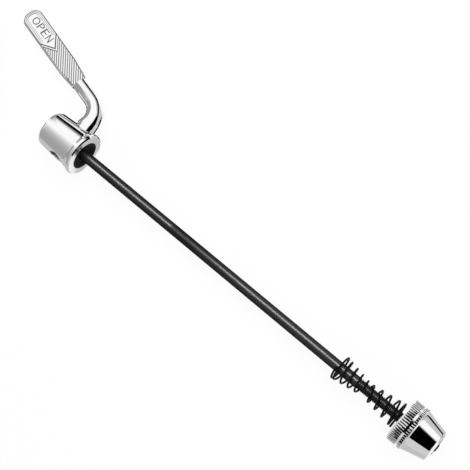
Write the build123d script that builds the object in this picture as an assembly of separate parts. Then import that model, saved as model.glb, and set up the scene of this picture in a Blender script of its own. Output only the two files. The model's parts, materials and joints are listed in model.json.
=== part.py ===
import os
from math import asin, atan2, cos, degrees, hypot, pi, radians, sin

from build123d import *

# Quick release skewer, lying at rest. Millimetres.
# +X runs along the rod from the lever end to the nut, +Z is up,
# and the origin is on the rod axis in the plane of the housing's clamp face.

# Driving dimensions: rod
rod_d = 5.0
thread_pitch = 0.8
thread_len = 42.0
rod_tip_out = 0.5
grip_len = 187.7

# Driving dimensions: cam housing
flange_d = 21.6
barrel_root_d = 20.2
barrel_end_d = 17.6
housing_len = 23.0
end_round = 2.4
flange_t = 1.8
flare_len = 1.6
clamp_edge = 0.7
cavity_d = 13.6
end_wall = 3.6
pivot_back = 9.4

# Driving dimensions: face bush
bush_d = 14.4
bush_len = 2.8
bush_sink = 0.1
bush_rod_gap = 0.45

# Driving dimensions: cam shaft and lever
throw = 1.1
lobe_d = 6.2
eye_t = 8.4
eye_d = 10.2
journal_d = 9.0
far_journal_d = 4.9
stub_d = 4.0
collar_d = 9.8
neck_d = 7.4
bend_r = 11.0
paddle_lean = 14.0
paddle_len = 45.6
paddle_root_w = 10.0
paddle_tip_w = 10.6
paddle_root_t = 4.4
paddle_tip_t = 3.2
edge_round = 1.1
grip_rib_pitch = 1.1
grip_rib_lean = 34.0
grip_rib_h = 0.25
panel_len = 20.4
ridge_point = 6.2

# Driving dimensions: ring and washer in the recess
recess_d = 9.4
washer_t = 0.5
ring_t = 0.5
ring_teeth = 8

# Driving dimensions: springs
wire_d = 0.95
lever_spring_len = 15.2
nut_spring_len = 17.7
lever_spring_od = 12.0
nut_spring_od = 12.3
spring_turns = 5.0
closed_turns = 1.2
spring_rod_gap = 0.25
lever_spring_droop = 2.0
nut_spring_droop = 6.6

# Driving dimensions: nut
nut_len = 18.3
nut_rim_d = 20.4
nut_lip_d = 20.8
cone_root_d = 19.6
nut_end_d = 14.6
knurl_teeth = 56
knurl_depth = 0.26
lock_ring_d = 8.8
lock_ring_len = 3.6

# Running clearance round the shafts, and clearance round seated rings
running = 0.05
seated = 0.04

# Sizes that follow from the ones above
rod_r = rod_d / 2
core_r = rod_r - 0.54127 * thread_pitch
bore_r = rod_r + running
rod_end = grip_len + nut_len + rod_tip_out
thread_start = rod_end - thread_len
paddle_dir = Vector(-cos(radians(paddle_lean)), sin(radians(paddle_lean)), 0)
paddle_side = Vector(sin(radians(paddle_lean)), cos(radians(paddle_lean)), 0)
barrel_run = housing_len - flange_t - flare_len
barrel_slope = (barrel_root_d - barrel_end_d) / 2 / barrel_run
barrel_r_at_pivot = barrel_end_d / 2 + barrel_slope * (housing_len - pivot_back)
collar_at = barrel_r_at_pivot + collar_d / 2 * barrel_slope + 0.4
bend_start = collar_at + 1.7
bend_turn = 90 - paddle_lean
bend_centre = Vector(-pivot_back - bend_r, bend_start, 0)
bend_end = bend_centre + Vector(bend_r * sin(radians(paddle_lean)), bend_r * cos(radians(paddle_lean)), 0)
paddle_at = bend_end + paddle_dir * (1.1 * bend_r)
neck_share = 0.8
neck_stop = -(1 - neck_share) * 1.1 * bend_r
recess_floor = cavity_d / 2 + 1.2

# Lying down, the flange, the nut and the paddle's tip touch the floor, which sets how far the cam shaft dips.
tip_round = 0.42 * paddle_tip_w
tip_out = paddle_at.Y + paddle_dir.Y * (paddle_len - tip_round) + paddle_side.Y * (paddle_tip_w / 2 - tip_round)
tip_out = tip_out + tip_round - edge_round
tip_low = (paddle_tip_t + (paddle_root_t - paddle_tip_t) * tip_round / paddle_len) / 2 - edge_round
dip = degrees(asin((flange_d / 2 - edge_round) / hypot(tip_out, tip_low)) - atan2(tip_low, tip_out))


def lay(shape):
    """Turn a piece of the head about the rod axis from the flat to its rest."""
    return Rot(-dip, 0, 0) * shape


def across(radius, start, stop, x=-pivot_back, z=0.0):
    """A round bar along the cam shaft, from start to stop."""
    low = min(start, stop)
    bar = Cylinder(radius, abs(stop - start), align=(Align.CENTER, Align.CENTER, Align.MIN))
    return Pos(x, low, z) * Rot(-90, 0, 0) * bar


def along(radius, start, stop):
    """A round bar on the rod axis, from start to stop."""
    bar = Cylinder(radius, stop - start, align=(Align.CENTER, Align.CENTER, Align.MIN))
    return Pos(start, 0, 0) * Rot(0, 90, 0) * bar


def turned(points, rounds):
    """A body turned about the rod axis. Rounds gives the corner radius of a profile point by its place."""
    face = make_face(Polyline(*points, close=True))
    for place, radius in rounds.items():
        target = Vector(*points[place])
        corner = face.vertices().sort_by_distance(target)[0]
        face = fillet(corner, radius)
    return revolve(face, Axis.X)


# Skewer rod: plain bar with an eye for the cam and a threaded end cut to its root
def make_rod():
    eye_x = -pivot_back
    neck_x = eye_x + eye_d / 2 - 1.6
    rod = along(rod_r, neck_x, thread_start)
    rod += along(core_r, thread_start - 1.0, rod_end - 0.8)
    tip = Cone(core_r, core_r - 0.6, 0.8, align=(Align.CENTER, Align.CENTER, Align.MIN))
    rod += Pos(rod_end - 0.8, 0, 0) * Rot(0, 90, 0) * tip
    shoulder = Cone(rod_r, core_r, 0.6, align=(Align.CENTER, Align.CENTER, Align.MIN))
    rod += Pos(thread_start, 0, 0) * Rot(0, 90, 0) * shoulder
    rod += across(eye_d / 2, -eye_t / 2, eye_t / 2)
    play = 0.32
    slot_w = lobe_d + 2 * play
    slot_run = throw - 2 * play + 0.16
    slot = extrude(SlotCenterToCenter(slot_run, slot_w), eye_t, both=True)
    rod -= Pos(eye_x, 0, -throw / 2) * Rot(90, 0, 0) * Rot(0, 0, 90) * slot
    return lay(rod)


# Cam housing: turned barrel with a flange, hollow for the eye, bored across for the cam shaft
def make_housing():
    flare_x = -flange_t - flare_len
    seat_x = -bush_sink - bush_len
    points = [
        (-housing_len, 0),
        (-housing_len, barrel_end_d / 2),
        (flare_x, barrel_root_d / 2),
        (-flange_t, flange_d / 2),
        (-clamp_edge, flange_d / 2),
        (0, flange_d / 2 - 0.8 * clamp_edge),
        (0, bush_d / 2 + seated),
        (seat_x, bush_d / 2 + seated),
        (seat_x, cavity_d / 2),
        (end_wall - housing_len, cavity_d / 2),
        (end_wall - housing_len, 0),
    ]
    rounds = {1: end_round, 2: 2.0, 3: 0.7, 4: 0.3, 9: 1.5}
    body = turned(points, rounds)
    reach = barrel_root_d
    body -= across(journal_d / 2 + running, 0, reach)
    body -= across(far_journal_d / 2 + running, -reach, 0)
    body -= across(recess_d / 2, -reach, -recess_floor)
    return lay(body)


# Face bush: plastic ring in the mouth of the housing, dished towards the rod
def make_bush():
    front = -bush_sink
    back = front - bush_len
    hole_r = rod_r + bush_rod_gap
    points = [
        (back, hole_r),
        (back, bush_d / 2),
        (front, bush_d / 2),
        (front, bush_d / 2 - 1.0),
        (front - 1.1, hole_r + 1.6),
        (front - 0.7, hole_r + 0.5),
        (front - 0.7, hole_r),
    ]
    return turned(points, {2: 0.3})


def neck_sections():
    """Round sections of the lever's neck, from the collar round the bend to the paddle."""
    slim = neck_d / 2
    sections = [(Vector(-pivot_back, collar_at, 0), Vector(0, 1, 0), collar_d / 2)]
    stations = 7
    for i in range(stations):
        share = i / (stations - 1)
        turn = radians(bend_turn * share)
        point = bend_centre + Vector(bend_r * cos(turn), bend_r * sin(turn), 0)
        heading = Vector(-sin(turn), cos(turn), 0)
        flare = (collar_d / 2 - 0.25 - slim) * (1 - share) ** 2.4
        sections.append((point, heading, slim + flare))
    run = (paddle_at - bend_end).length
    for i in range(1, 5):
        share = neck_share * i / 4
        sections.append((bend_end + paddle_dir * (run * share), paddle_dir, slim))
    return sections


def paddle_frame():
    """A plane on the paddle's middle, its x along the paddle to the tip and its y to the outer edge."""
    return Plane(origin=paddle_at, x_dir=paddle_dir, z_dir=(0, 0, -1))


def half_width(along_paddle):
    share = along_paddle / paddle_len
    return (paddle_root_w + (paddle_tip_w - paddle_root_w) * share) / 2


def half_thick(along_paddle):
    share = along_paddle / paddle_len
    return (paddle_root_t + (paddle_tip_t - paddle_root_t) * share) / 2


def outline(start, stop, inset):
    """Straight-sided piece of the paddle's outline between two places along it."""
    first = half_width(start) - inset
    last = half_width(stop) - inset
    return [(start, -first), (stop, -last), (stop, last), (start, first)]


# Lever: cam shaft with its eccentric lobe, bent neck and paddle, all one forging
def make_lever():
    shoulder = paddle_len * 0.2
    neck_w = neck_d / 2 * 0.93
    flare_w = neck_w * 1.18
    flare_end = neck_stop + 0.12 * neck_d
    root = neck_stop - 1.4 * edge_round
    edge = [(root, -neck_w), (neck_stop, -neck_w), (flare_end, -flare_w)]
    edge += outline(shoulder, paddle_len, 0)
    edge += [(flare_end, flare_w), (neck_stop, neck_w), (root, neck_w)]
    plan = make_face(Polyline(*edge, close=True))
    ends = plan.vertices().sort_by(Axis.X)[-2:]
    plan = fillet(ends, tip_round)
    shoulders = plan.vertices().sort_by(Axis.X)[6:8]
    plan = fillet(shoulders, 2 * neck_d)
    flares = plan.vertices().sort_by(Axis.X)[4:6]
    plan = fillet(flares, 0.3 * neck_d)
    slab = extrude(plan, paddle_root_t, both=True)
    far = paddle_len + 1
    rear = root - 1
    side = [(rear, -half_thick(rear)), (far, -half_thick(far)), (far, half_thick(far)), (rear, half_thick(rear))]
    wedge = extrude(Plane.XZ * make_face(Polyline(*side, close=True)), paddle_tip_w, both=True)
    slab = slab & wedge
    for end in (-1, 0):
        slab = fillet(slab.faces().sort_by(Axis.Z)[end].edges(), edge_round)

    # ribs of the grip, on both faces, and the double ridge that ends the plain panel
    grip_start = neck_stop + 0.3
    ridge_at = paddle_len - panel_len
    room = half_width(ridge_at) - 0.9
    grip = make_face(
        Polyline(
            (grip_start, -neck_w + 0.7),
            (flare_end, -flare_w + 0.9),
            (shoulder, -half_width(shoulder) + 0.9),
            (ridge_at - 1.2, -room),
            (ridge_at - ridge_point - 1.2, 0),
            (ridge_at - 1.2, room),
            (shoulder, half_width(shoulder) - 0.9),
            (flare_end, flare_w - 0.9),
            (grip_start, neck_w - 0.7),
            close=True,
        )
    )
    span = ridge_at - grip_start
    bars = Sketch()
    count = int((span * sin(radians(grip_rib_lean)) + paddle_root_w) / grip_rib_pitch) + 2
    for i in range(count):
        shift = (i - count / 2) * grip_rib_pitch
        bar = Rectangle(2.5 * span, grip_rib_pitch * 0.5)
        middle = Pos(grip_start + span / 2, 0) * Rot(0, 0, grip_rib_lean) * Pos(0, shift)
        bars += middle * bar
    ribs = grip & bars
    ridges = Sketch()
    for back in (0.0, 1.0):
        at = ridge_at - back * 0.8 + 0.6
        ridges += make_face(
            Polyline(
                (at, -room),
                (at - ridge_point, 0),
                (at, room),
                (at - 0.35, room),
                (at - ridge_point - 0.35, 0),
                (at - 0.35, -room),
                close=True,
            )
        )
    face_tilt = degrees(asin((paddle_root_t - paddle_tip_t) / 2 / paddle_len))
    relief = extrude(ribs, grip_rib_h + 0.6) + extrude(ridges, grip_rib_h + 0.6)
    on_top = Pos(0, 0, half_thick(0) - 0.6) * Rot(0, face_tilt, 0) * relief
    slab += on_top
    slab += mirror(on_top, Plane.XY)

    paddle = paddle_frame().location * slab
    rings = [Plane(origin=p, x_dir=(0, 0, 1), z_dir=h) * Circle(r) for p, h, r in neck_sections()]
    lever = loft(rings) + paddle
    lever += across(journal_d / 2, eye_t / 2 + 0.4, collar_at)
    lever += across(lobe_d / 2, -eye_t / 2 - 0.4, eye_t / 2 + 0.4, z=-throw)
    lever += across(far_journal_d / 2, -recess_floor + 0.1, -eye_t / 2 - 0.4)
    stub = across(stub_d / 2, -barrel_r_at_pivot, -recess_floor + 0.1)
    lever += chamfer(stub.edges().sort_by(Axis.Y)[0], stub_d / 8)
    return lay(lever)


# Thrust washer: on the stub of the cam shaft, against the floor of the recess
def make_washer():
    near = -recess_floor - running
    washer = across(recess_d / 2 - 0.35, near - washer_t, near)
    washer -= across(stub_d / 2 + seated, near - washer_t, near)
    return lay(washer)


# Retaining ring: push-on ring with teeth that bite the stub
def make_ring():
    near = -recess_floor - running - washer_t - 0.02
    far = near - ring_t
    outer_r = recess_d / 2 - 0.75
    ring = across(outer_r, far, near)
    ring -= across(stub_d / 2 + seated, far, near)
    for i in range(ring_teeth):
        slit = Box(0.5, 3 * ring_t, 2 * (outer_r - stub_d / 2) - 1.2)
        turn = Rot(0, 360 / ring_teeth * i, 0)
        ring -= Pos(-pivot_back, (near + far) / 2, 0) * turn * Pos(0, 0, stub_d / 2) * slit
    return lay(ring)


def conical_spring(big_x, small_x, big_od, droop, phase):
    """A right-handed conical spring that hangs on the rod, its closed big end drooping about its small end."""
    big_r = (big_od - wire_d) / 2
    small_r = rod_r + spring_rod_gap + wire_d / 2
    toward = 1 if small_x > big_x else -1
    steps = int(spring_turns * 10)
    closed = closed_turns / spring_turns
    rise_closed = closed_turns * wire_d * 1.15 / abs(small_x - big_x)
    points = []
    for i in range(steps + 1):
        share = i / steps
        if share < closed:
            run = rise_closed * share / closed
        else:
            run = rise_closed + (1 - rise_closed) * (share - closed) / (1 - closed)
        radius = big_r + (small_r - big_r) * max(0.0, share - closed * 0.8) / (1 - closed * 0.8)
        turn = radians(phase) + toward * 2 * pi * spring_turns * share
        points.append(((big_x - small_x) * (1 - run), radius * cos(turn), radius * sin(turn)))
    path = Spline(*points)
    start = Plane(origin=path @ 0, x_dir=(1, 0, 0), z_dir=path % 0)
    coil = sweep(start * RegularPolygon(wire_d / 2 * 1.05, 6), path, is_frenet=True)
    return Pos(small_x, 0, 0) * Rot(0, -toward * droop, 0) * coil


def knurl(start, stop, radius):
    """A band of straight teeth round the nut."""
    tips = []
    for i in range(2 * knurl_teeth):
        reach = radius if i % 2 else radius - knurl_depth
        turn = pi * i / knurl_teeth
        tips.append((reach * cos(turn), reach * sin(turn)))
    band = extrude(make_face(Polyline(*tips, close=True)), stop - start)
    return Pos(start, 0, 0) * Rot(0, 90, 0) * band


# Adjusting nut: rim, two knurled bands with a groove between, lip and cone
def make_nut():
    face_x = grip_len
    rim_r = nut_rim_d / 2
    lip_r = nut_lip_d / 2
    groove_r = rim_r - 0.9
    under = rim_r - knurl_depth - 0.05
    band_a = face_x + 0.8
    groove_x = band_a + 3.5
    band_b = groove_x + 1.1
    lip_x = band_b + 1.4
    cone_x = lip_x + 0.5
    end_x = face_x + nut_len
    points = [
        (face_x, bore_r + 0.5),
        (face_x, rim_r - 0.3),
        (face_x + 0.3, rim_r),
        (band_a, rim_r),
        (band_a, under),
        (groove_x, under),
        (groove_x, groove_r),
        (band_b, groove_r),
        (band_b, under),
        (lip_x, under),
        (lip_x, lip_r),
        (lip_x + 0.3, lip_r),
        (cone_x, cone_root_d / 2),
        (end_x - 0.8, nut_end_d / 2),
        (end_x, nut_end_d / 2 - 1.6),
        (end_x, lock_ring_d / 2 + seated),
        (end_x - lock_ring_len - 0.3, lock_ring_d / 2 + seated),
        (end_x - lock_ring_len - 0.3, bore_r),
        (face_x + 0.5, bore_r),
    ]
    nut = turned(points, {12: 0.9, 13: 0.7})
    nut += knurl(band_a, groove_x, rim_r)
    nut += knurl(band_b, lip_x, lip_r)
    nut -= along(bore_r, face_x - 1, end_x + 1)
    nut -= along(lock_ring_d / 2 + seated, end_x - lock_ring_len - 0.3, end_x + 1)
    return nut


# Lock ring: nylon ring in the outer end of the nut
def make_lock_ring():
    end_x = grip_len + nut_len - 0.3
    ring = along(lock_ring_d / 2, end_x - lock_ring_len, end_x)
    return ring - along(bore_r, end_x - lock_ring_len, end_x)


nut_spring_big = grip_len - 1.5
nut_spring_small = nut_spring_big - nut_spring_len + wire_d
lever_spring_small = nut_spring_small - wire_d - 0.3
lever_spring_big = lever_spring_small - lever_spring_len + wire_d
lever_coil = (lever_spring_big, lever_spring_small, lever_spring_od, lever_spring_droop, 90)
nut_coil = (nut_spring_big, nut_spring_small, nut_spring_od, nut_spring_droop, 270)

nodes = {
    "skewer_rod": make_rod(),
    "cam_housing": make_housing(),
    "face_bush": make_bush(),
    "lever": make_lever(),
    "thrust_washer": make_washer(),
    "retaining_ring": make_ring(),
    "lever_side_spring": conical_spring(*lever_coil),
    "nut_side_spring": conical_spring(*nut_coil),
    "adjusting_nut": make_nut(),
    "nut_lock_ring": make_lock_ring(),
}

os.makedirs("parts", exist_ok=True)
for name, shape in nodes.items():
    export_step(shape, "parts/" + name + ".step")
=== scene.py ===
import json
from math import cos, pi, radians, sin

import bpy
from mathutils import Matrix, Vector


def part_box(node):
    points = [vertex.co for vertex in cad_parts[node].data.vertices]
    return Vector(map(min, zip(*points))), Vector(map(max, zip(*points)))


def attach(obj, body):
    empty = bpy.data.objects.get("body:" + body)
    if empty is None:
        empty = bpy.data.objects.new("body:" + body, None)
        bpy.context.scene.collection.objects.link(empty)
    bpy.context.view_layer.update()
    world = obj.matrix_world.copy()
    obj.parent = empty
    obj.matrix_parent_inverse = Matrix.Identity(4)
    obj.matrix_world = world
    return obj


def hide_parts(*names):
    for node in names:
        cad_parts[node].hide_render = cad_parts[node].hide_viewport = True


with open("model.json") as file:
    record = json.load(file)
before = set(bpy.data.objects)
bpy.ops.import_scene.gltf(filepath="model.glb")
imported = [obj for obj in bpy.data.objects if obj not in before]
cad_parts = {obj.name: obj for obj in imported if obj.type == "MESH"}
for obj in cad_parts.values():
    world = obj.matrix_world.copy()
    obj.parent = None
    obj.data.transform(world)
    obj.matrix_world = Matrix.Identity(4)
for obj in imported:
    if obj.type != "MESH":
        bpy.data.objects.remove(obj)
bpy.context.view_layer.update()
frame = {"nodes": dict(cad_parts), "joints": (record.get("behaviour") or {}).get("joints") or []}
bpy.ops.object.select_all(action="DESELECT")


# Skewer rod
# A drawn steel bar with a black coat, an eye at the lever end and a rolled thread at the nut end.
# The coat is thin, so the bar keeps a dull metallic line of light along it.
def shader_of(finish):
    """The node that holds the colour and gloss of a finish."""
    return finish.node_tree.nodes["Principled BSDF"]


def coat(name, colour, metallic, roughness, grain, stretch=(1, 1, 1), bump=0.0):
    """A finish of one colour whose roughness, and if asked its surface, wanders a little."""
    usual_noise = (0.3, 0.7)
    bump_height = 0.0001
    finish = bpy.data.materials.new(name)
    finish.use_nodes = True
    nodes = finish.node_tree.nodes
    links = finish.node_tree.links
    shader = shader_of(finish)
    shader.inputs["Base Color"].default_value = (*colour, 1)
    shader.inputs["Metallic"].default_value = metallic
    where = nodes.new("ShaderNodeTexCoord")
    turned = nodes.new("ShaderNodeMapping")
    turned.inputs["Scale"].default_value = stretch
    links.new(where.outputs["Object"], turned.inputs["Vector"])
    noise = nodes.new("ShaderNodeTexNoise")
    noise.inputs["Scale"].default_value = grain
    noise.inputs["Detail"].default_value = 4
    links.new(turned.outputs["Vector"], noise.inputs["Vector"])
    spread = nodes.new("ShaderNodeMapRange")
    spread.inputs["From Min"].default_value = usual_noise[0]
    spread.inputs["From Max"].default_value = usual_noise[1]
    spread.inputs["To Min"].default_value = roughness[0]
    spread.inputs["To Max"].default_value = roughness[1]
    links.new(noise.outputs["Fac"], spread.inputs["Value"])
    links.new(spread.outputs["Result"], shader.inputs["Roughness"])
    if bump:
        raised = nodes.new("ShaderNodeBump")
        raised.inputs["Strength"].default_value = bump
        raised.inputs["Distance"].default_value = bump_height
        links.new(noise.outputs["Fac"], raised.inputs["Height"])
        links.new(raised.outputs["Normal"], shader.inputs["Normal"])
    return finish


def dress(node, finish):
    """Give a piece of the frame its finish."""
    slots = frame["nodes"][node].data.materials
    slots.clear()
    slots.append(finish)


rod_black = (0.03, 0.0295, 0.0285)
drawn_along = (0.05, 1, 1)
edge_tint = (0.1, 0.1, 0.1, 1)
black_coat = coat(
    "black_coat", rod_black, metallic=0.9, roughness=(0.3, 0.36), grain=2500, stretch=drawn_along,
)
shader_of(black_coat).inputs["Specular Tint"].default_value = edge_tint
dress("skewer_rod", black_coat)


# Rod thread
# Rolled, not cut: a right-hand ridge of M5 size runs round the root of the bar, its foot sunk into it.
# It starts in the bar's shoulder and stops just short of the chamfer at the tip.
thread_pitch = 0.0008
thread_length = 0.0415
thread_crest = 0.00247
thread_root = 0.00203
thread_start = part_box("skewer_rod")[1].x - thread_length
thread_turns = 50
thread_facets = 24
flank_foot = 0.42 * thread_pitch
flank_top = 0.07 * thread_pitch

bpy.ops.mesh.primitive_plane_add(size=1)
thread = bpy.context.object
thread.name = "rod_thread"
section = [
    (thread_start - flank_foot, 0, thread_root),
    (thread_start + flank_foot, 0, thread_root),
    (thread_start - flank_top, 0, thread_crest),
    (thread_start + flank_top, 0, thread_crest),
]
for vertex, corner in zip(thread.data.vertices, section):
    vertex.co = corner
bpy.ops.object.mode_set(mode="EDIT")
bpy.ops.mesh.select_all(action="SELECT")
bpy.ops.mesh.delete(type="ONLY_FACE")
bpy.ops.object.mode_set(mode="OBJECT")
winding = thread.modifiers.new("winding", "SCREW")
winding.axis = "X"
winding.screw_offset = thread_pitch
winding.iterations = thread_turns
winding.steps = thread_facets
winding.render_steps = thread_facets
bpy.ops.object.modifier_apply(modifier="winding")
bpy.ops.object.mode_set(mode="EDIT")
bpy.ops.mesh.select_all(action="SELECT")
bpy.ops.mesh.fill_holes(sides=8)
bpy.ops.mesh.normals_make_consistent(inside=False)
bpy.ops.object.mode_set(mode="OBJECT")
thread.data.materials.append(black_coat)
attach(thread, "rod")


# Cam housing
# A die casting, polished and plated with bright chrome.
# Its clamp face, which grips the frame of the bicycle, is left satin.
def bright_chrome(name):
    """Chrome plate: a mirror with a faint haze left by the polishing wheel."""
    return coat(name, chrome_tone, metallic=1.0, roughness=(0.025, 0.06), grain=400)


def worked_out(finish, operation, *values):
    """One step of arithmetic on numbers and on the outputs of earlier steps."""
    step = finish.node_tree.nodes.new("ShaderNodeMath")
    step.operation = operation
    for socket, value in zip(step.inputs, values):
        if isinstance(value, float):
            socket.default_value = value
        else:
            finish.node_tree.links.new(value, socket)
    return step.outputs[0]


def measured(finish, origin, direction):
    """How far a point of the piece lies from an origin in one direction."""
    nodes = finish.node_tree.nodes
    links = finish.node_tree.links
    where = nodes.new("ShaderNodeTexCoord")
    offset = nodes.new("ShaderNodeVectorMath")
    offset.operation = "SUBTRACT"
    links.new(where.outputs["Object"], offset.inputs[0])
    offset.inputs[1].default_value = origin
    along = nodes.new("ShaderNodeVectorMath")
    along.operation = "DOT_PRODUCT"
    links.new(offset.outputs[0], along.inputs[0])
    along.inputs[1].default_value = direction
    return along.outputs["Value"]


chrome_tone = (0.95, 0.95, 0.955)
satin_rough = 0.3
face_depth = 0.00005
chrome = bright_chrome("chrome")
housing_gloss = shader_of(chrome).inputs["Roughness"]
polish = housing_gloss.links[0].from_socket
along_housing = measured(chrome, (0, 0, 0), (1, 0, 0))
on_clamp_face = worked_out(chrome, "GREATER_THAN", along_housing, -face_depth)
satin = worked_out(chrome, "MULTIPLY", on_clamp_face, satin_rough)
chrome.node_tree.links.new(worked_out(chrome, "MAXIMUM", polish, satin), housing_gloss)
dress("cam_housing", chrome)


# Adjusting nut
# Turned from bar, with two knurled bands, and plated like the housing.
# Shade is painted into the bottom of the knurl: its grooves are given a darker chrome colour.
def between(finish, value, low, high):
    """One where a value lies between two limits, and nought elsewhere."""
    above = worked_out(finish, "GREATER_THAN", value, low)
    below = worked_out(finish, "LESS_THAN", value, high)
    return worked_out(finish, "MULTIPLY", above, below)


def paint_shade(finish, share, tone):
    """Paint shade into the chrome of a finish: a darker tone where the share is one."""
    mix = finish.node_tree.nodes.new("ShaderNodeMix")
    mix.data_type = "RGBA"
    mix.inputs["A"].default_value = (*chrome_tone, 1)
    mix.inputs["B"].default_value = (tone, tone, tone, 1)
    finish.node_tree.links.new(share, mix.inputs["Factor"])
    finish.node_tree.links.new(mix.outputs["Result"], shader_of(finish).inputs["Base Color"])


knurl_bands = [
    {"start": 0.0007, "stop": 0.0043, "groove_top": 0.01008},
    {"start": 0.0054, "stop": 0.0068, "groove_top": 0.01026},
]
# Tone of the painted shade in the knurl's grooves.
knurl_shade_tone = 0.08
shaded_knurled_chrome = bright_chrome("shaded_knurled_chrome")
clamp_face = Vector((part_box("adjusting_nut")[0].x, 0, 0))
from_face = measured(shaded_knurled_chrome, clamp_face, (1, 0, 0))
sideways = measured(shaded_knurled_chrome, clamp_face, (0, 1, 0))
upwards = measured(shaded_knurled_chrome, clamp_face, (0, 0, 1))
squares = worked_out(
    shaded_knurled_chrome, "ADD",
    worked_out(shaded_knurled_chrome, "MULTIPLY", sideways, sideways),
    worked_out(shaded_knurled_chrome, "MULTIPLY", upwards, upwards),
)
from_axis = worked_out(shaded_knurled_chrome, "SQRT", squares)
shaded_knurl_grooves = []
for band in knurl_bands:
    in_band = between(shaded_knurled_chrome, from_face, band["start"], band["stop"])
    deep = worked_out(shaded_knurled_chrome, "LESS_THAN", from_axis, band["groove_top"])
    shaded_knurl_grooves.append(worked_out(shaded_knurled_chrome, "MULTIPLY", in_band, deep))
# Painted shade: the groove floors of both knurled bands get the darker tone.
paint_shade(shaded_knurled_chrome, worked_out(shaded_knurled_chrome, "MAXIMUM", *shaded_knurl_grooves), knurl_shade_tone)
dress("adjusting_nut", shaded_knurled_chrome)


# Face bush and lock ring
# Plastic rings, pressed into the housing's mouth and the nut's end.
# Both are moulded, which leaves a fine grain on them.
bush_black = (0.004, 0.004, 0.004)
nylon_grey = (0.05, 0.05, 0.05)
dull_gloss = 0.08
black_plastic = coat(
    "black_plastic", bush_black, metallic=0.0, roughness=(0.4, 0.6), grain=1500, bump=0.1,
)
shader_of(black_plastic).inputs["Specular IOR Level"].default_value = dull_gloss
dress("face_bush", black_plastic)
dark_nylon = coat(
    "dark_nylon", nylon_grey, metallic=0.0, roughness=(0.45, 0.6), grain=1500, bump=0.1,
)
dress("nut_lock_ring", dark_nylon)


# Lever
# One forging, cam shaft, bent neck and paddle together, plated with the same chrome as the housing.
# The paddle has slanted grip ribs up to a double ridge, and shade is painted as a darker chrome colour
# between them.
lever_joint = next(joint for joint in frame["joints"] if joint["name"] == "lever_turn")
along_rod = Vector((1, 0, 0))
along_cam = Vector(lever_joint["axis"])
upward = along_rod.cross(along_cam)
paddle_lean = radians(14)
paddle_length = 0.0456
paddle_root = along_rod * -0.02948 + along_cam * 0.02573
root_half_thick = 0.0022
tip_half_thick = 0.0016
level_to_tip = along_cam * sin(paddle_lean) - along_rod * cos(paddle_lean)
to_outer_edge = along_rod * sin(paddle_lean) + along_cam * cos(paddle_lean)

neck_end = -0.0022
groove_slack = 0.0001
ridge_slant = -1.45
grip_end = 0.0178
grip_shade_share = 0.74
ridge_lines = [(grip_end, 0.01845), (0.0196, 0.0207)]
# Tone of the painted shade on the groove floors between the ribs.
groove_shade_tone = 0.04
shaded_grooved_chrome = bright_chrome("shaded_grooved_chrome")
place_along = measured(shaded_grooved_chrome, paddle_root, level_to_tip)
from_middle = measured(shaded_grooved_chrome, paddle_root, to_outer_edge)
place_across = worked_out(shaded_grooved_chrome, "ABSOLUTE", from_middle)
height = worked_out(shaded_grooved_chrome, "ABSOLUTE", measured(shaded_grooved_chrome, paddle_root, upward))
thinning = (tip_half_thick - root_half_thick) / paddle_length
groove_floor = worked_out(shaded_grooved_chrome, "MULTIPLY_ADD", place_along, thinning, root_half_thick)
over_floor = worked_out(shaded_grooved_chrome, "SUBTRACT", height, groove_floor)
off_floor = worked_out(shaded_grooved_chrome, "ABSOLUTE", over_floor)
in_groove = worked_out(shaded_grooved_chrome, "LESS_THAN", off_floor, groove_slack)
past_neck = worked_out(shaded_grooved_chrome, "GREATER_THAN", place_along, neck_end)
back_from_ridge = worked_out(shaded_grooved_chrome, "MULTIPLY_ADD", place_across, ridge_slant, place_along)
before_ridge = worked_out(shaded_grooved_chrome, "LESS_THAN", back_from_ridge, grip_end)
shade = worked_out(shaded_grooved_chrome, "MULTIPLY", before_ridge, grip_shade_share)
for line_start, line_stop in ridge_lines:
    ridge_line = between(shaded_grooved_chrome, back_from_ridge, line_start, line_stop)
    shade = worked_out(shaded_grooved_chrome, "MAXIMUM", shade, ridge_line)
shade = worked_out(shaded_grooved_chrome, "MULTIPLY", shade, past_neck)
# Painted shade: groove floors on the grip and along the ridge lines get the darker tone.
paint_shade(shaded_grooved_chrome, worked_out(shaded_grooved_chrome, "MULTIPLY", in_groove, shade), groove_shade_tone)
dress("lever", shaded_grooved_chrome)


# Word on the paddle
# Four capitals that stand a little proud of the chrome, near the tip of the paddle's upper face.
# They are forged with the lever and left dull.
thickness_change = upward * (tip_half_thick - root_half_thick)
to_tip = (level_to_tip * paddle_length + thickness_change).normalized()
face_up = to_outer_edge.cross(to_tip)
paddle_face = Matrix((-to_tip, to_outer_edge, face_up)).transposed().to_4x4()
paddle_face.translation = paddle_root + upward * root_half_thick
dull_grey = (0.12, 0.12, 0.12)
etched = coat("etched_chrome", dull_grey, metallic=1.0, roughness=(0.25, 0.4), grain=1500)


def lay_on_paddle(piece):
    """Move a mesh drawn flat, with x from the tip to the neck, onto the paddle's upper face."""
    piece.data.transform(paddle_face)
    piece.data.materials.clear()
    piece.data.materials.append(etched)
    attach(piece, "lever")


letter_height = 0.0039
letter_size = letter_height / 0.69
letters_across = 0.0004
stroke_change = -0.00005
relief = 0.00012
letter_middles = {"O": 0.0389, "P": 0.0346, "E": 0.0306, "N": 0.0266}
letter_widths = {"O": 0.0039, "P": 0.0029, "E": 0.003, "N": 0.0029}

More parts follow.
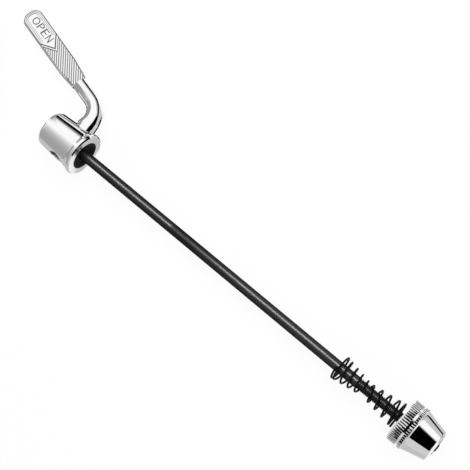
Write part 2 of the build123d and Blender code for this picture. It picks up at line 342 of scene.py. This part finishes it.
for letter, from_root in letter_middles.items():
    bpy.ops.object.text_add()
    raised_letter = bpy.context.object
    raised_letter.name = "paddle_letter_" + letter
    raised_letter.data.body = letter
    raised_letter.data.size = letter_size
    raised_letter.data.extrude = relief
    raised_letter.data.offset = stroke_change
    bpy.ops.object.convert(target="MESH")
    spots = [vertex.co for vertex in raised_letter.data.vertices]
    low = Vector([min(spot[axis] for spot in spots) for axis in range(3)])
    high = Vector([max(spot[axis] for spot in spots) for axis in range(3)])
    drawn = high - low
    centred = Matrix.Translation((low + high) / -2)
    fitted = Matrix.Diagonal((letter_widths[letter] / drawn.x, letter_height / drawn.y, 1, 1))
    placed = Matrix.Translation((-from_root, letters_across, 0))
    raised_letter.data.transform(placed @ fitted @ centred)
    lay_on_paddle(raised_letter)


# Border of the word
# Three fine lines raised with the word, left dull like it.
# They follow the edge of the panel from the ridge round the tip and back.
panel_end = 0.0263
ridge_point = 0.0061
panel_half_width = 0.0052
tip_radius = 0.0044
border_lines = 3
line_width = 0.0002
line_gap = 0.0006
first_inset = 0.0006
touching = 1e-6

bpy.ops.mesh.primitive_plane_add(size=1)
border = bpy.context.object
border.name = "paddle_border"
panel_corners = [
    (-paddle_length, -panel_half_width, 0),
    (-panel_end, -panel_half_width, 0),
    (-paddle_length, panel_half_width, 0),
    (-panel_end, panel_half_width, 0),
]
for vertex, corner in zip(border.data.vertices, panel_corners):
    vertex.co = corner
bpy.ops.object.mode_set(mode="EDIT")
bpy.ops.mesh.select_mode(type="EDGE")
bpy.ops.mesh.select_all(action="DESELECT")
bpy.ops.object.mode_set(mode="OBJECT")
for edge in border.data.edges:
    ends = [border.data.vertices[i].co.x for i in edge.vertices]
    edge.select = max(abs(x + panel_end) for x in ends) < touching
bpy.ops.object.mode_set(mode="EDIT")
bpy.ops.mesh.subdivide(number_cuts=1)
bpy.ops.object.mode_set(mode="OBJECT")
for vertex in border.data.vertices:
    if abs(vertex.co.y) < touching and abs(vertex.co.x + panel_end) < touching:
        vertex.co.x += ridge_point
bpy.ops.object.mode_set(mode="EDIT")
bpy.ops.mesh.select_mode(type="VERT")
bpy.ops.mesh.select_all(action="DESELECT")
bpy.ops.object.mode_set(mode="OBJECT")
for vertex in border.data.vertices:
    vertex.select = abs(vertex.co.x + paddle_length) < touching
bpy.ops.object.mode_set(mode="EDIT")
bpy.ops.mesh.bevel(offset=tip_radius, segments=10, affect="VERTICES")
bpy.ops.mesh.select_mode(type="FACE")
bpy.ops.mesh.select_all(action="SELECT")
bpy.ops.mesh.inset(thickness=first_inset)
line_faces = set()
for line in range(border_lines):
    bpy.ops.object.mode_set(mode="OBJECT")
    so_far = len(border.data.polygons)
    bpy.ops.object.mode_set(mode="EDIT")
    bpy.ops.mesh.inset(thickness=line_width)
    bpy.ops.object.mode_set(mode="OBJECT")
    line_faces.update(range(so_far, len(border.data.polygons)))
    bpy.ops.object.mode_set(mode="EDIT")
    bpy.ops.mesh.inset(thickness=line_gap)
bpy.ops.object.mode_set(mode="OBJECT")
for face in border.data.polygons:
    beside_ridge = face.center.x > -panel_end
    face.select = beside_ridge or face.index not in line_faces
bpy.ops.object.mode_set(mode="EDIT")
bpy.ops.mesh.delete(type="FACE")
bpy.ops.object.mode_set(mode="OBJECT")
raising = border.modifiers.new("raising", "SOLIDIFY")
raising.thickness = 2 * relief
raising.offset = 0
bpy.ops.object.modifier_apply(modifier="raising")
lay_on_paddle(border)


# Thrust washer and retaining ring
# Stamped from thin spring strip and pushed over the end of the cam shaft. They lie in the housing's
# recess, where little light reaches them, and their near-black colour is painted shade for that dark
# gap.
recess_shade_black = (0.015, 0.015, 0.015)
ring_painted_shade = coat(
    "ring_painted_shade", recess_shade_black, metallic=0.6, roughness=(0.3, 0.45), grain=1200, bump=0.05,
)
for node in ("thrust_washer", "retaining_ring"):
    dress(node, ring_painted_shade)


# Springs
# Two cone springs wound from black-coated round wire, small ends together and wide ends closed.
# They hang on the rod, so their wide ends droop a little.
wire_black = (0.004, 0.004, 0.004)
spring_black = coat("spring_black", wire_black, metallic=0.0, roughness=(0.35, 0.5), grain=1500)
shader_of(spring_black).inputs["Specular IOR Level"].default_value = dull_gloss
wire_width = 0.00095
spring_turns = 5.0
closed_turns = 1.2
closed_pitch = wire_width * 1.15
steps_per_turn = 40
rod_radius = 0.0025
rod_clearance = 0.00025
small_radius = rod_radius + rod_clearance + wire_width / 2


def wound_spring(name, node, body, big_x, small_x, big_width, droop, phase):
    """One cone spring of round wire, from its closed wide end to its small end."""
    toward = 1 if small_x > big_x else -1
    big_radius = (big_width - wire_width) / 2
    closed = closed_turns / spring_turns
    even = closed * 0.8
    rise_closed = closed_turns * closed_pitch / abs(small_x - big_x)
    steps = int(spring_turns * steps_per_turn)
    line = bpy.data.curves.new(name, "CURVE")
    line.dimensions = "3D"
    turns = line.splines.new("POLY")
    turns.points.add(steps)
    for i in range(steps + 1):
        share = i / steps
        if share < closed:
            run = rise_closed * share / closed
        else:
            run = rise_closed + (1 - rise_closed) * (share - closed) / (1 - closed)
        taper = max(0.0, share - even) / (1 - even)
        radius = big_radius + (small_radius - big_radius) * taper
        turn = radians(phase) + toward * 2 * pi * spring_turns * share
        spot = ((big_x - small_x) * (1 - run), radius * cos(turn), radius * sin(turn))
        turns.points[i].co = (*spot, 1)
    line.bevel_depth = wire_width / 2
    line.bevel_resolution = 3
    line.use_fill_caps = True
    spring = bpy.data.objects.new(name, line)
    bpy.context.collection.objects.link(spring)
    bpy.ops.object.select_all(action="DESELECT")
    spring.select_set(True)
    bpy.context.view_layer.objects.active = spring
    bpy.ops.object.convert(target="MESH")
    hang = Matrix.Rotation(radians(-toward * droop), 4, "Y")
    spring.data.transform(Matrix.Translation((small_x, 0, 0)) @ hang)
    bpy.ops.object.shade_smooth()
    spring.data.materials.append(spring_black)
    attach(spring, body)
    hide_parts(node)


nut_spring_length = 0.0177
lever_spring_length = 0.0152
gap_to_nut = 0.0015
gap_between = 0.0003
nut_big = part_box("adjusting_nut")[0].x - gap_to_nut
nut_small = nut_big - nut_spring_length + wire_width
lever_small = nut_small - wire_width - gap_between
lever_big = lever_small - lever_spring_length + wire_width
wound_spring(
    "lever_spring_wire", "lever_side_spring", "lever_spring", lever_big, lever_small,
    big_width=0.012, droop=2.0, phase=90,
)
wound_spring(
    "nut_spring_wire", "nut_side_spring", "nut_spring", nut_big, nut_small,
    big_width=0.0123, droop=6.6, phase=270,
)


# Floor
# A white sheet of paper that the skewer lies on, bright all over, with the soft shadow under the rod.
# The camera and the chrome see it nearly pure white, and the light falls on it as on any paper.
floor_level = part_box("cam_housing")[0].z
floor_size = 6
floor_middle = (0.08, 0.015, floor_level)
bpy.ops.mesh.primitive_plane_add(size=floor_size, location=floor_middle)
floor = bpy.context.object
floor.name = "floor"


def backdrop(nodes, links, surface, white):
    """Show white to the camera and in the metal, and the lit surface to everything else."""
    path = nodes.new("ShaderNodeLightPath")
    either = nodes.new("ShaderNodeMath")
    either.operation = "MAXIMUM"
    links.new(path.outputs["Is Camera Ray"], either.inputs[0])
    links.new(path.outputs["Is Glossy Ray"], either.inputs[1])
    any_ray = nodes.new("ShaderNodeMath")
    any_ray.operation = "MAXIMUM"
    links.new(either.outputs[0], any_ray.inputs[0])
    links.new(path.outputs["Is Transmission Ray"], any_ray.inputs[1])
    share = nodes.new("ShaderNodeMath")
    share.operation = "MULTIPLY"
    share.inputs[1].default_value = white
    links.new(any_ray.outputs[0], share.inputs[0])
    mix = nodes.new("ShaderNodeMixShader")
    links.new(share.outputs[0], mix.inputs["Fac"])
    links.new(surface.outputs[0], mix.inputs[1])
    return mix


paper_white = (0.9, 0.9, 0.9, 1)
white_share = 0.92
floor_paper = bpy.data.materials.new("floor_paper")
floor_paper.use_nodes = True
paper_nodes = floor_paper.node_tree.nodes
paper_links = floor_paper.node_tree.links
paper = shader_of(floor_paper)
paper.inputs["Base Color"].default_value = paper_white
paper.inputs["Roughness"].default_value = 0.9
paper_glow = paper_nodes.new("ShaderNodeEmission")
paper_mix = backdrop(paper_nodes, paper_links, paper, white_share)
paper_links.new(paper_glow.outputs["Emission"], paper_mix.inputs[2])
paper_links.new(paper_mix.outputs[0], paper_nodes["Material Output"].inputs["Surface"])
floor.data.materials.append(floor_paper)


# Studio light
# One wide soft box overhead, a long strip that draws the line of light along the rod, and a pale room.
# The strip lights the rod and its thread alone, and chrome sees the room a little dimmer on one side.
room_grey = (0.5, 0.5, 0.5, 1)
dim_tone = 0.64
dim_from = -0.35
dim_to = 0.15
world = bpy.context.scene.world or bpy.data.worlds.new("room")
bpy.context.scene.world = world
world.use_nodes = True
room_nodes = world.node_tree.nodes
room_links = world.node_tree.links
room = room_nodes["Background"]
room.inputs["Color"].default_value = room_grey
white_room = room_nodes.new("ShaderNodeBackground")
direction = room_nodes.new("ShaderNodeTexCoord")
split = room_nodes.new("ShaderNodeSeparateXYZ")
room_links.new(direction.outputs["Generated"], split.inputs["Vector"])
dim_side = room_nodes.new("ShaderNodeMapRange")
dim_side.inputs["From Min"].default_value = dim_from
dim_side.inputs["From Max"].default_value = dim_to
dim_side.inputs["To Min"].default_value = dim_tone
room_links.new(split.outputs["Y"], dim_side.inputs["Value"])
ray = room_nodes.new("ShaderNodeLightPath")
seen = room_nodes.new("ShaderNodeMix")
seen.inputs["A"].default_value = 1.0
room_links.new(ray.outputs["Is Glossy Ray"], seen.inputs["Factor"])
room_links.new(dim_side.outputs["Result"], seen.inputs["B"])
room_links.new(seen.outputs["Result"], white_room.inputs["Color"])
room_mix = backdrop(room_nodes, room_links, room, 1.0)
room_links.new(white_room.outputs["Background"], room_mix.inputs[2])
room_links.new(room_mix.outputs[0], room_nodes["World Output"].inputs["Surface"])


def aim(light, target):
    """Turn a light to face a point."""
    toward = Vector(target) - light.location
    light.rotation_euler = toward.to_track_quat("-Z", "Y").to_euler()


bpy.ops.object.light_add(type="AREA", location=(0.1, 0.2, 0.7))
soft_box = bpy.context.object
soft_box.name = "soft_box"
soft_box.data.size = 0.6
soft_box.data.energy = 4.2
soft_box.visible_glossy = False
aim(soft_box, (0.08, 0.0, 0.0))

bpy.ops.object.light_add(type="AREA", location=(0.0, 0.15, 0.31))
strip = bpy.context.object
strip.name = "strip_light"
strip.data.shape = "RECTANGLE"
strip.data.size = 0.6
strip.data.size_y = 0.08
strip.data.energy = 5.0
aim(strip, (0.0, 0.0, 0.0))
lit_by_strip = bpy.data.collections.new("lit_by_strip")
lit_by_strip.objects.link(frame["nodes"]["skewer_rod"])
lit_by_strip.objects.link(thread)
strip.light_linking.receiver_collection = lit_by_strip


# Reflection cards
# Dark and grey boards that stand and lie round the skewer and give the chrome its bands.
# Only mirror surfaces see them: they are hidden from the camera and matt surfaces, and cast no shadow.
def card(name, corners, low_tone, high_tone=None, fade_from=0.0, fade_to=1.0):
    """A flat board of one tone, or of a tone that changes with height between two levels."""
    if high_tone is None:
        high_tone = low_tone
    bpy.ops.mesh.primitive_plane_add(size=1)
    board = bpy.context.object
    board.name = name
    for vertex, corner in zip(board.data.vertices, corners):
        vertex.co = corner
    board.visible_camera = False
    board.visible_diffuse = False
    board.visible_shadow = False
    board.visible_transmission = False
    paint = bpy.data.materials.new(name)
    paint.use_nodes = True
    nodes = paint.node_tree.nodes
    links = paint.node_tree.links
    where = nodes.new("ShaderNodeTexCoord")
    axes = nodes.new("ShaderNodeSeparateXYZ")
    links.new(where.outputs["Object"], axes.inputs["Vector"])
    fade = nodes.new("ShaderNodeMapRange")
    fade.interpolation_type = "SMOOTHSTEP"
    fade.inputs["From Min"].default_value = fade_from
    fade.inputs["From Max"].default_value = fade_to
    fade.inputs["To Min"].default_value = low_tone
    fade.inputs["To Max"].default_value = high_tone
    links.new(axes.outputs["Z"], fade.inputs["Value"])
    glow = nodes.new("ShaderNodeEmission")
    links.new(fade.outputs["Result"], glow.inputs["Color"])
    links.new(glow.outputs["Emission"], nodes["Material Output"].inputs["Surface"])
    board.data.materials.append(paint)


def standing(x0, y0, x1, y1, top, foot=floor_level):
    """Corners of an upright board between two points, on the floor unless its foot is raised."""
    return [(x0, y0, foot), (x1, y1, foot), (x0, y0, top), (x1, y1, top)]


def lying(x0, x1, y0, y1, height):
    """Corners of a level board."""
    return [(x0, y0, height), (x1, y0, height), (x0, y1, height), (x1, y1, height)]


board_lift = 0.0002
on_floor = floor_level + board_lift
on_board = on_floor + board_lift

# Boards by the lever and the housing
card("dark_wall_side", standing(-0.3, 0.12, 0.055, 0.12, 0.075), 0.0, 1.0, 0.005, 0.07)
card("dark_floor_side", lying(-0.3, 0.055, 0.07, 0.12, on_floor), 0.0)
card("dark_wall_end", standing(0.055, 0.12, 0.055, 0.008, 0.085), 0.0, 1.0, 0.045, 0.08)
over_rod = standing(0.055, 0.008, 0.055, -0.04, 0.09, foot=0.005)
card("dark_wall_over_rod", over_rod, 0.0, 1.0, 0.065, 0.085)
slope = [(-0.26, -0.16, -0.01), (0.06, -0.16, -0.01), (-0.26, 0.1, 0.296), (0.06, 0.1, 0.296)]
card("grey_slope", slope, 0.36, 1.0, 0.06, 0.28)
card("grey_end", standing(-0.14, -0.1, -0.14, 0.01, 0.12), 0.3, 1.0, 0.04, 0.12)
card("grey_collar", standing(-0.033, 0.011, -0.033, 0.0235, 0.026), 0.33, 1.0, 0.01, 0.026)
card("grey_floor", lying(-0.5, 1.2, -1.6, -0.014, on_floor), 0.55)
by_clamp = [(0.001, -0.012), (0.003, -0.012), (0.001, 0.016), (0.02, 0.016)]
card("clamp_floor", [(x, y, on_floor) for x, y in by_clamp], 0.5)
card("neck_floor", lying(-0.006, 0.04, 0.017, 0.05, on_floor), 0.6)
card("dark_edge", lying(-0.032, 0.0, 0.006, 0.021, on_board), 0.0)
card("paddle_floor", lying(-0.085, -0.036, 0.006, 0.03, on_floor), 0.1)

# Boards by the nut
over_nut = [(0.18, -0.118, 0.13), (0.33, -0.118, 0.13), (0.18, 0.157, 0.16), (0.4, 0.157, 0.16)]
card("nut_board", over_nut, 0.0, 1.0, 0.153, 0.16)
card("nut_grey", lying(0.185, 0.24, 0.004, 0.026, on_floor), 0.6)
card("nut_edge", lying(0.2005, 0.25, 0.026, 0.045, on_floor), 0.0)
card("nut_floor", lying(0.16, 0.6, 0.045, 0.2, on_floor), 0.58)
card("nut_side", standing(0.16, 0.2, 0.6, 0.2, 0.06), 0.58, 1.0, 0.02, 0.06)


# Camera
# It looks down on the skewer from above the nut, turned so that the rod runs across the picture.
# Its lens is the one that fits the photograph, given there in pixels.
picture_width = 470
focal_pixels = 1100
film_width = 36
bpy.ops.object.camera_add(location=(0.22113, 0.04902, 0.46646))
camera = bpy.context.object
camera.name = "camera"
camera.rotation_euler = (radians(7.457), radians(15.463), radians(39.580))
camera.data.sensor_width = film_width
camera.data.lens = film_width * focal_pixels / picture_width
bpy.context.scene.camera = camera
bpy.context.scene.view_settings.view_transform = "Standard"
